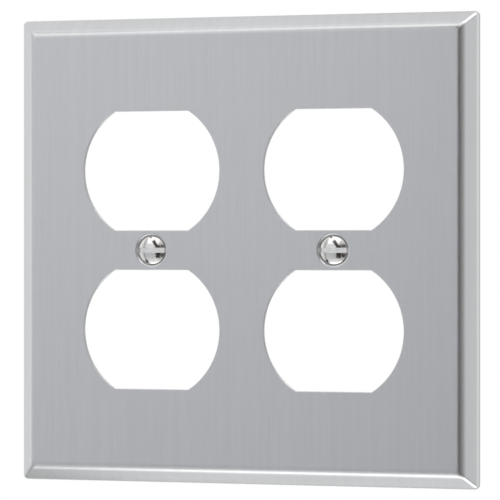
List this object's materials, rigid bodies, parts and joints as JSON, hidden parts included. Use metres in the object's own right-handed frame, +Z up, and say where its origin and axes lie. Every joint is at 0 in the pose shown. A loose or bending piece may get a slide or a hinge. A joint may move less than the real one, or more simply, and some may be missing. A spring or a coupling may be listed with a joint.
{
  "type": "wall plate",
  "caption": "Pressed metal wall plate with a bevelled rim, flat-sided round openings for duplex receptacles and captive oval-head screws in dimpled seats.",
  "frame": {"origin": "middle of the plate's back plane, which lies on the wall", "axes": "+X across the plate towards the right-hand gang seen from the front, +Z up, +Y into the wall, so the face looks along -Y"},
  "size_m": [0.116, 0.0138, 0.1142],
  "materials": {
    "plate_steel": "vertical satin grain with brighter bends",
    "screw_steel": "bright polished",
    "washer_fibre": "dull vulcanised fibre"
  },
  "bodies": {
    "plate": {"plate": "plate_steel"},
    "left_washer": {"left_retaining_washer": "washer_fibre"},
    "left_screw": {"left_screw": "screw_steel"},
    "right_washer": {"right_retaining_washer": "washer_fibre"},
    "right_screw": {"right_screw": "screw_steel"}
  },
  "joints": [
    {"name": "left_screw_travel", "type": "slide", "parent": "plate", "child": "left_washer", "axis": [0, -1, 0], "range_m": [0, 0.0018]},
    {"name": "left_screw_turn", "type": "hinge", "parent": "left_washer", "child": "left_screw", "pos_m": [-0.02302, 0, 0], "axis": [0, 1, 0], "continuous": true},
    {"name": "right_screw_travel", "type": "slide", "parent": "plate", "child": "right_washer", "axis": [0, -1, 0], "range_m": [0, 0.0018]},
    {"name": "right_screw_turn", "type": "hinge", "parent": "right_washer", "child": "right_screw", "pos_m": [0.02302, 0, 0], "axis": [0, 1, 0], "continuous": true}
  ]
}
